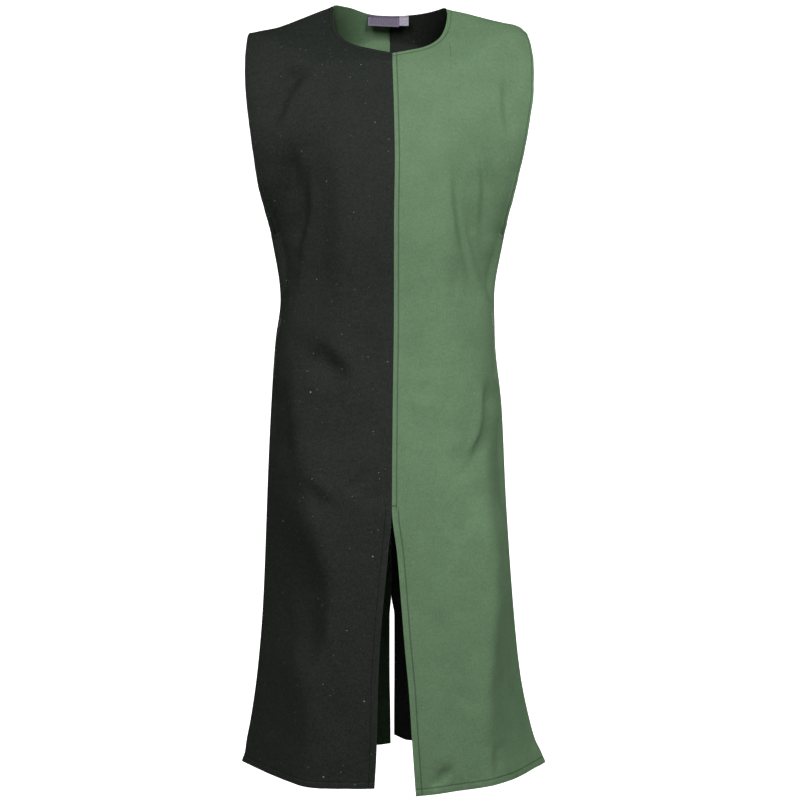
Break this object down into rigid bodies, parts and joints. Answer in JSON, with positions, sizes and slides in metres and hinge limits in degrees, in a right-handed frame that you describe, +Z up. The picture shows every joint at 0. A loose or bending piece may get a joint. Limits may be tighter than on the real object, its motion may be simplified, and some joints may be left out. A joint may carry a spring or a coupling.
{
  "type": "surcoat",
  "caption": "Long sleeveless round-necked surcoat parted black and green down the middle, slit at the front and back hem, filled out as if worn, hollow and open at neck, armholes and hem",
  "frame": {"origin": "the middle of the neck opening, level with the neck points of the shoulder seams", "axes": "+X to the wearer's left, -Y out of the front, +Z up"},
  "size_m": [0.4555, 0.3113, 1.149],
  "materials": {
    "front_right": "matte plain-weave cotton canvas, black",
    "front_left": "matte plain-weave cotton canvas, sage green",
    "back_right": "matte plain-weave cotton canvas, sage green",
    "back_left": "matte plain-weave cotton canvas, black",
    "neck_label": "woven satin ribbon, purple, bare",
    "size_tab": "woven ribbon, lilac, bare"
  },
  "bodies": {
    "root": {"front_right": "front_right", "front_left": "front_left", "back_right": "back_right", "back_left": "back_left", "neck_label": "neck_label", "size_tab": "size_tab"}
  },
  "joints": []
}
